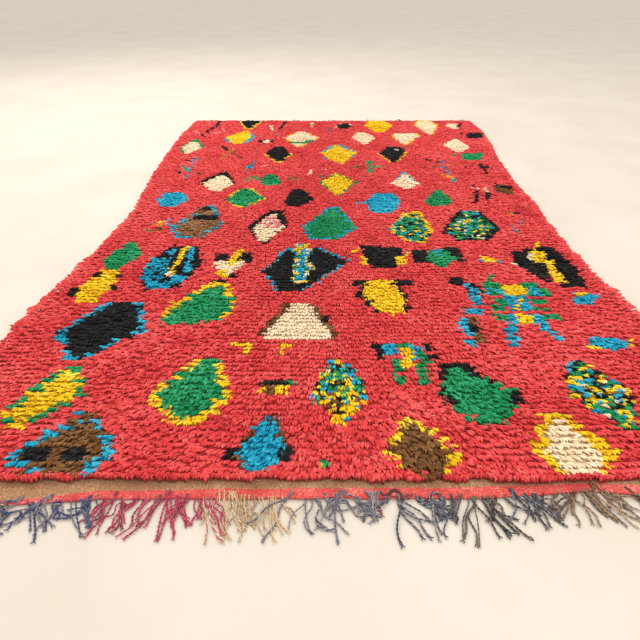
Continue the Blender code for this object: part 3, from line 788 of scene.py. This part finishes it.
def pile_bed(chart, materials):
    """The closed body of the pile under its tufts, ridged along the rows and coloured by the chart."""
    share = np.linspace(0.0, 1.0, BED_COLUMNS)
    lines = [(FIRST_ROW_Y - BED_NEAR_OVERHANG, BED_GROOVE)]
    for y in ROW_YS:
        lines += [(y - BED_CREST_BACK, BED_CREST), (y, BED_GROOVE)]
    lines.append((LAST_ROW_Y + BED_FAR_OVERHANG, BED_GROOVE))
    y, z = (np.array(values)[:, None] for values in zip(*lines))
    left = side_x(y, "left") + BED_INSET
    right = side_x(y, "right") - BED_INSET
    x = left + (right - left) * share
    y = np.broadcast_to(y, x.shape)
    wander, lump = (soft_noise(x.ravel(), y.ravel(), *kind).reshape(x.shape) for kind in (WANDER, LUMP))
    edge = np.clip(np.minimum(share, 1.0 - share) * 40.0, 0.0, 1.0)
    height = z * (1.0 + 0.10 * lump) * (0.8 + 0.2 * edge)
    rows, columns = x.shape
    top = np.stack([x, y + ROW_WANDER * wander, height], 2)
    index = np.arange(rows * columns).reshape(rows, columns)
    rim = np.concatenate([index[0, :-1], index[:-1, -1], index[-1, :0:-1], index[:0:-1, 0]])
    foot = top.reshape(-1, 3)[rim].copy()
    foot[:, 2] = BED_FOOT
    points = np.concatenate([top.reshape(-1, 3), foot, [[0.0, 0.0, BED_FOOT]]])
    low = rows * columns + np.arange(len(rim))
    middle = np.full(len(rim), len(points) - 1)
    next_low = np.roll(low, -1)
    faces = np.concatenate([
        stacked(index[:-1, :-1], index[:-1, 1:], index[1:, 1:]),
        stacked(index[:-1, :-1], index[1:, 1:], index[1:, :-1]),
        stacked(rim, low, next_low),
        stacked(rim, next_low, np.roll(rim, -1)),
        stacked(middle, next_low, low),
    ])
    cell_x = (x[:-1, :-1] + x[1:, 1:]) / 2
    cell_y = (y[:-1, :-1] + y[1:, 1:]) / 2
    root = cell_x - SEEN_SHARE * STRAND_REACH * np.sin(mean_lean(cell_x, cell_y))
    knot = np.clip(np.round(root / KNOT_PITCH).astype(int), -SIDE_KNOT, SIDE_KNOT) + SIDE_KNOT
    row = np.clip(np.arange(rows - 1) // 2, 0, ROWS - 1)[:, None]
    cell = chart[row, knot].ravel()
    per_face = np.concatenate([cell, cell, np.zeros(3 * len(rim), int)])
    # Painted shade: the grooves take a lower rise than the crests, so they show darker wool.
    rise = np.where(z > (BED_CREST + BED_GROOVE) / 2, CREST_RISE, GROOVE_RISE) * np.ones_like(x)
    rest = np.full(len(points) - rise.size, FOOT_RISE)
    values = {
        "rise": np.concatenate([rise.ravel(), rest]),
        "shade": np.concatenate([(0.5 * lump).ravel(), np.zeros_like(rest)]),
    }
    item = mesh_piece("pile_bed", points, faces, materials[0], values)
    add_materials(item, materials[1:], per_face)
    return item


RED_PARTS = 4


def pile_pieces(chart):
    """The pile as joined meshes: its body, and the tufts of each colour, the red ones in parts."""
    points, colour, row_number, shade = pile(chart)
    rise = np.repeat(STRAND_RISE, (1, STRAND_SIDES, 1))
    materials = [wool_material("wool_" + name, wool) for name, wool in WOOLS.items()]
    pieces = [pile_bed(chart, materials)]
    for number, (name, material) in enumerate(zip(WOOLS, materials)):
        groups = [("pile_" + name, colour == number)]
        if name == "red":
            part = row_number * RED_PARTS // ROWS
            parts = ((colour == number) & (part == index) for index in range(RED_PARTS))
            groups = [(f"pile_red_{index}", chosen) for index, chosen in enumerate(parts, 1)]
        for piece_name, chosen in groups:
            count = int(chosen.sum())
            values = {"shade": np.repeat(shade[chosen], points.shape[1]), "rise": np.tile(rise, count)}
            places = points[chosen].reshape(-1, 3)
            pieces.append(mesh_piece(piece_name, places, strand_faces(count), material, values))
    return pieces


GROUND_COLUMNS = 90
GROUND_ROWS = 16
RED_LINES = 5
BROWN_LINES = 6
FAR_LINES = 3


def ground_lines():
    """The lines across the ground weave: the band each one starts, and its place as a function of x."""
    stations = (
        ("red", lambda x: end_y(x, "near"), RED_LINES),
        ("brown", lambda x: end_y(x, "red"), BROWN_LINES),
        ("field", lambda x: np.full_like(x, NEAR_FOOT_Y), GROUND_ROWS),
        ("brown", lambda x: np.full_like(x, FAR_FOOT_Y), FAR_LINES),
        ("brown", lambda x: end_y(x, "far"), 1),
    )
    lines = []
    for (kind, start, count), (_, end, _) in zip(stations, stations[1:] + stations[-1:]):
        for share in np.arange(count) / count:
            lines.append((kind, lambda x, a=start, b=end, s=share: a(x) * (1.0 - s) + b(x) * s))
    return lines


def ground_weave(materials):
    """The cloth itself: a thin closed sheet with the field's ground and the flat-woven ends."""
    lines = ground_lines()
    top = []
    for _, place in lines:
        middle = float(np.mean(place(np.linspace(-0.7, 0.7, 9))))
        x = np.linspace(side_x(middle, "left"), side_x(middle, "right"), GROUND_COLUMNS)
        top.append(np.stack([x, place(x), np.full_like(x, WEAVE_THICKNESS)], 1))
    top = np.array(top)
    rows, columns = top.shape[:2]
    low = top.copy()
    low[:, :, 2] = 0.0
    flat = top.reshape(-1, 3)
    wave = soft_noise(flat[:, 0], flat[:, 1], *LOOSE_WEAVE).reshape(rows, columns)
    loose = np.clip((NEAR_FOOT_Y + LOOSE_START - top[:, :, 1]) / LOOSE_LENGTH, 0.0, 1.0)
    lift = np.maximum(loose * (LOOSE_LIFT + LOOSE_WAVE * wave), 0.0)
    for side in (top, low):
        side[:, :, 2] += lift
    points = np.concatenate([top.reshape(-1, 3), low.reshape(-1, 3)])
    index = np.arange(rows * columns).reshape(rows, columns)
    under = index + rows * columns
    faces = np.concatenate([
        stacked(index[:-1, :-1], index[:-1, 1:], index[1:, 1:], index[1:, :-1]),
        stacked(under[:-1, :-1], under[1:, :-1], under[1:, 1:], under[:-1, 1:]),
        stacked(index[0, :-1], under[0, :-1], under[0, 1:], index[0, 1:]),
        stacked(index[-1, :-1], index[-1, 1:], under[-1, 1:], under[-1, :-1]),
        stacked(index[:-1, 0], index[1:, 0], under[1:, 0], under[:-1, 0]),
        stacked(index[:-1, -1], under[:-1, -1], under[1:, -1], index[1:, -1]),
    ])
    kinds = list(materials)
    by_line = np.array([kinds.index(kind) for kind, _ in lines[:-1]])
    by_face = np.repeat(by_line, columns - 1)
    near = np.full(columns - 1, kinds.index("red"))
    far = np.full(columns - 1, kinds.index("brown"))
    item = mesh_piece("ground_weave", points, faces, materials["field"], {})
    numbers = np.concatenate([by_face, by_face, near, far, by_line, by_line])
    add_materials(item, list(materials.values())[1:], numbers)
    return item


def weave_material(name, slant, *colours):
    """Flat weave: fine wefts over warps, slanted where they pack, with soiled patches."""
    material, tree, shader, place = empty_material(name)
    turned = add_node(tree, "ShaderNodeMapping", Vector=place, Rotation=(0.0, 0.0, slant)).outputs["Vector"]
    wave = {"bands_direction": "Y"}
    wefts = add_node(tree, "ShaderNodeTexWave", wave, Vector=turned, Scale=90.0, Distortion=7.0, Detail=2.0)
    drawn_out = add_node(tree, "ShaderNodeMapping", Vector=turned, Scale=(1.0, 5.0, 1.0)).outputs["Vector"]
    streaks = noise_texture(tree, drawn_out, 110.0, 3.0)
    patches = noise_texture(tree, place, 22.0, 4.0)
    fibres = noise_texture(tree, place, 330.0, 3.0)
    height = weighted_sum(tree, 0.0, (wefts.outputs["Fac"], 0.25), (streaks, 0.75), (fibres, 0.3))
    tone = weighted_sum(tree, -0.62, (height, 0.50), (patches, 0.75), (fibres, 0.80))
    colour = colour_ramp(tree, tone, (0.0, 0.5, 1.0), colours)
    bump = (height, 0.7, 0.0012)
    finish(tree, shader, colour, bump, Roughness=0.9, Specular_IOR_Level=0.2, Sheen_Weight=0.12)
    return material


# Fringe yarns, a row for each stretch of an end: where it starts across the rug, and its yarns' colours.
NEAR_STRETCHES = (
    (-0.80, "tan brown taupe"),
    (-0.57, "navy navy slate ash"),
    (-0.41, "maroon rose rose"),
    (-0.24, "rose straw straw"),
    (-0.20, "straw straw tan"),
    (-0.10, "slate ash ash"),
    (0.06, "charcoal slate ash"),
    (0.10, "maroon charcoal"),
    (0.11, "charcoal slate ash"),
    (0.16, "charcoal charcoal taupe"),
    (0.26, "charcoal slate charcoal ash"),
    (0.34, "taupe brown tan"),
    (0.50, "taupe charcoal brown ash"),
)
FAR_STRETCHES = ((-0.80, "charcoal olive"),)
YARNS = {
    "tan": (178, 142, 100),
    "brown": (112, 84, 62),
    "navy": (62, 72, 118),
    "slate": (96, 95, 110),
    "maroon": (140, 40, 60),
    "rose": (198, 64, 90),
    "straw": (226, 190, 142),
    "ash": (146, 135, 137),
    "charcoal": (62, 58, 60),
    "taupe": (122, 100, 84),
    "olive": (70, 62, 44),
}
PLY_SIDES = 3
PLY_TURNS_PER_METRE = 62.0
YARN_ON_CLOTH = 0.0068
YARN_STEP = 0.006
YARN_TIP = 0.0015
YARN_SPREAD = 0.0035
YARN_LIFT = 0.0035
YARN_INSETS = (0.002, 0.002, 0.002, 0.006, 0.013)
SHORTEST_SHARE = 0.70
LONGEST_SHARE = 1.12
OPEN_END = 0.14
OPEN_WIDTH = 1.6
LOWEST_YARN = 0.0002
FRINGE_SIDE_Y = 1.24
FRINGE_INSET = 0.010
Fringe = namedtuple(
    "Fringe", "name end outward clusters plies rings radius shortest longest seed stretches"
)
FRINGES = (
    Fringe("fringe_near", "near", -1.0, 88, 2, 22, 0.00105, 0.046, 0.088, 31, NEAR_STRETCHES),
    Fringe("fringe_far", "far", 1.0, 44, 1, 14, 0.0014, 0.034, 0.066, 37, FAR_STRETCHES),
)


def yarn_path(kind, root, heading, bends, length, lift):
    """Centreline of a yarn that lies on the floor and turns by a slow bend and a quicker curl."""
    share = np.linspace(0.0, 1.0, kind.rings)
    slow, quick, phase, pace = bends
    angle = heading + slow * share + quick * (np.sin(phase + pace * share) - math.sin(phase))
    step = length / (kind.rings - 1)
    x = root[0] + np.concatenate([[0.0], np.cumsum(np.sin(angle[:-1]) * step)])
    y = root[1] + np.concatenate([[0.0], np.cumsum(np.cos(angle[:-1]) * step)])
    rest = 2.1 * kind.radius
    z = rest + lift * np.sin(np.pi * np.clip(share * 1.1, 0.0, 1.0)) ** 2
    on_cloth = np.clip(0.5 - kind.outward * (y - end_y(x, kind.end)) / YARN_STEP, 0.0, 1.0)
    z = np.maximum(z, on_cloth * YARN_ON_CLOTH)
    return np.stack([x, y, z], 1), angle


def ply_tube(kind, path, angle, offset_turn, size):
    """One ply of a yarn: a thin tube that winds about the yarn's centreline, and opens out at its end."""
    length = np.linalg.norm(np.diff(path, axis=0), axis=1).sum()
    share = np.linspace(0.0, 1.0, kind.rings)
    wind = offset_turn + 2 * math.pi * PLY_TURNS_PER_METRE * length * share
    side = np.stack([np.cos(angle), -np.sin(angle), np.zeros(kind.rings)], 1)
    up = np.array([0.0, 0.0, 1.0])
    radius = kind.radius * size
    opened = np.clip(share - (1.0 - OPEN_END), 0.0, 1.0) / OPEN_END
    orbit = radius * (kind.plies - 1) * (1.0 + OPEN_WIDTH * opened)
    centre = path + side * (np.cos(wind) * orbit)[:, None]
    centre = centre + up * (np.sin(wind) * np.minimum(orbit, radius))[:, None]
    rings = []
    for number in range(PLY_SIDES):
        turn = 2 * math.pi * number / PLY_SIDES
        rings.append(centre + radius * (side * math.cos(turn) + up * math.sin(turn)))
    points = np.stack(rings, 1).reshape(-1, 3)
    tip = centre[-1] + YARN_TIP * np.array([math.sin(angle[-1]), math.cos(angle[-1]), 0.0])
    return np.concatenate([points, [tip]])


def fringe_pieces(kind):
    """The yarns of one end, joined by colour: warp ends that come out in clusters and bend together."""
    chance = np.random.default_rng(kind.seed)
    strands = {name: [] for name in YARNS}
    forward = 0.0 if kind.outward > 0 else math.pi
    left, right = (side_x(FRINGE_SIDE_Y * kind.outward, side) for side in ("left", "right"))
    for middle in np.linspace(left + FRINGE_INSET, right - FRINGE_INSET, kind.clusters):
        turn = chance.normal(0.0, 0.30)
        bend = chance.normal(0.0, 0.45)
        wave = chance.normal(0.0, 0.45)
        phase = chance.uniform(0.0, 2 * math.pi)
        reach = chance.uniform(kind.shortest, kind.longest)
        inset = chance.choice(YARN_INSETS)
        for _ in range(chance.integers(2, 6)):
            place = middle + chance.normal(0.0, YARN_SPREAD)
            yarns = [names for start, names in kind.stretches if start <= place][-1]
            colours = chance.choice(yarns.split(), kind.plies)
            root = (place, float(end_y(place, kind.end)[0]) - kind.outward * inset)
            heading = forward + turn + chance.normal(0.0, 0.15)
            bends = (
                bend + chance.normal(0.0, 0.20),
                wave + chance.normal(0.0, 0.14),
                phase + chance.normal(0.0, 0.5),
                chance.uniform(4.0, 11.0),
            )
            length = reach * chance.uniform(SHORTEST_SHARE, LONGEST_SHARE) + inset
            lift = chance.uniform(0.0, YARN_LIFT)
            path, angle = yarn_path(kind, root, heading, bends, length, lift)
            size = chance.uniform(0.75, 1.2)
            start = chance.uniform(0.0, 2 * math.pi)
            for ply, colour in enumerate(colours):
                strands[colour].append(ply_tube(kind, path, angle, start + ply * math.pi, size))
    pieces = []
    for name, tubes in strands.items():
        if not tubes:
            continue
        points = np.concatenate(tubes)
        points[:, 2] = np.maximum(points[:, 2], LOWEST_YARN)
        faces = tube_faces(len(tubes), kind.rings, PLY_SIDES)
        values = {"shade": np.repeat(chance.normal(0.0, 0.5, len(tubes)), len(tubes[0]))}
        material = yarn_material("yarn_" + name, YARNS[name])
        pieces.append(mesh_piece(f"{kind.name}_{name}", points, faces, material, values))
    return pieces


def yarn_material(name, colour):
    """Spun warp yarn: each yarn its own shade, with fine fibres. Both fringes share a colour's material."""
    known = bpy.data.materials.get(name)
    if known:
        return known
    material, tree, shader, place = empty_material(name)
    fibres = noise_texture(tree, place, 1100.0, 2.0)
    patches = noise_texture(tree, place, 60.0, 3.0)
    tone = weighted_sum(tree, -0.15, (attribute(tree, "shade"), 0.20), (patches, 0.7), (fibres, 0.6))
    deep = tuple(0.55 * channel for channel in colour)
    light = tuple(0.62 * channel + 0.38 * 255 for channel in colour)
    colour = colour_ramp(tree, tone, (0.0, 0.5, 1.0), (deep, colour, light))
    bump = (fibres, 0.5, 0.0006)
    finish(tree, shader, colour, bump, Roughness=0.9, Specular_IOR_Level=0.2, Sheen_Weight=0.15)
    return material


FLOOR_SIZE = 60.0
FLOOR_Z = -0.0004


def studio():
    """A plain pale floor and soft light from above, a little from behind the rug."""
    bpy.ops.mesh.primitive_plane_add(size=FLOOR_SIZE, location=(0.0, 0.0, FLOOR_Z))
    floor = bpy.context.object
    floor.name = "floor"
    material, tree, shader, place = empty_material("floor")
    grain = noise_texture(tree, place, 3.0, 4.0)
    colour = colour_ramp(tree, grain, (0.3, 0.7), ((206, 194, 176), (214, 203, 186)))
    tree.links.new(colour, shader.inputs["Base Color"])
    shader.inputs["Roughness"].default_value = 0.7
    floor.data.materials.append(material)
    bpy.context.scene.view_settings.view_transform = "Standard"
    world = bpy.data.worlds.new("studio")
    bpy.context.scene.world = world
    world.use_nodes = True
    background = world.node_tree.nodes["Background"]
    background.inputs["Color"].default_value = (1.0, 0.985, 0.98, 1.0)
    background.inputs["Strength"].default_value = 1.0
    lamps = (
        ("key", (-1.4, 1.6, 3.0), 3.0, 85.0),
        ("fill", (1.6, -2.6, 2.6), 3.0, 45.0),
    )
    for name, place, size, power in lamps:
        lamp = bpy.data.lights.new(name, "AREA")
        lamp.size = size
        lamp.energy = power
        item = bpy.data.objects.new(name, lamp)
        item.location = place
        item.rotation_euler = (-Vector(place)).to_track_quat("-Z", "Y").to_euler()
        bpy.context.scene.collection.objects.link(item)


# Camera: at the near end, looking along the rug and down.
CAMERA_PLACE = (-0.045, -1.804, 0.735)
CAMERA_DOWN = math.radians(33.8)
CAMERA_LENS = 30.0
SENSOR = 36.0


def photo_camera():
    """The camera that looks at the rug as in the photo."""
    data = bpy.data.cameras.new("camera")
    data.lens = CAMERA_LENS
    data.sensor_width = SENSOR
    data.clip_start = 0.05
    camera = bpy.data.objects.new("camera", data)
    camera.location = CAMERA_PLACE
    camera.rotation_euler = (math.pi / 2 - CAMERA_DOWN, 0.0, 0.0)
    bpy.context.scene.collection.objects.link(camera)
    bpy.context.scene.camera = camera


def main():
    materials = {
        # The field's ground is its red wefts darkened to painted shade, for where it shows in the gaps
        # under the tufts.
        "field": weave_material("weave_field", 0.0, (96, 14, 20), (150, 30, 36), (180, 50, 52)),
        "brown": weave_material("weave_brown", 0.9, (96, 64, 42), (162, 117, 82), (222, 184, 142)),
        "red": weave_material("weave_red", 0.0, (156, 34, 38), (204, 74, 68), (250, 176, 152)),
    }
    ground = ground_weave(materials)
    pile_parts = pile_pieces(colour_chart())
    fringes = [(kind, fringe_pieces(kind)) for kind in FRINGES]
    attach(ground, "root")
    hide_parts("rug_cloth")
    for piece in pile_parts:
        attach(piece, "root")
        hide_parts("rug_cloth")
    for kind, pieces in fringes:
        for piece in pieces:
            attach(piece, "root")
            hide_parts(kind.name)
    studio()
    photo_camera()


main()
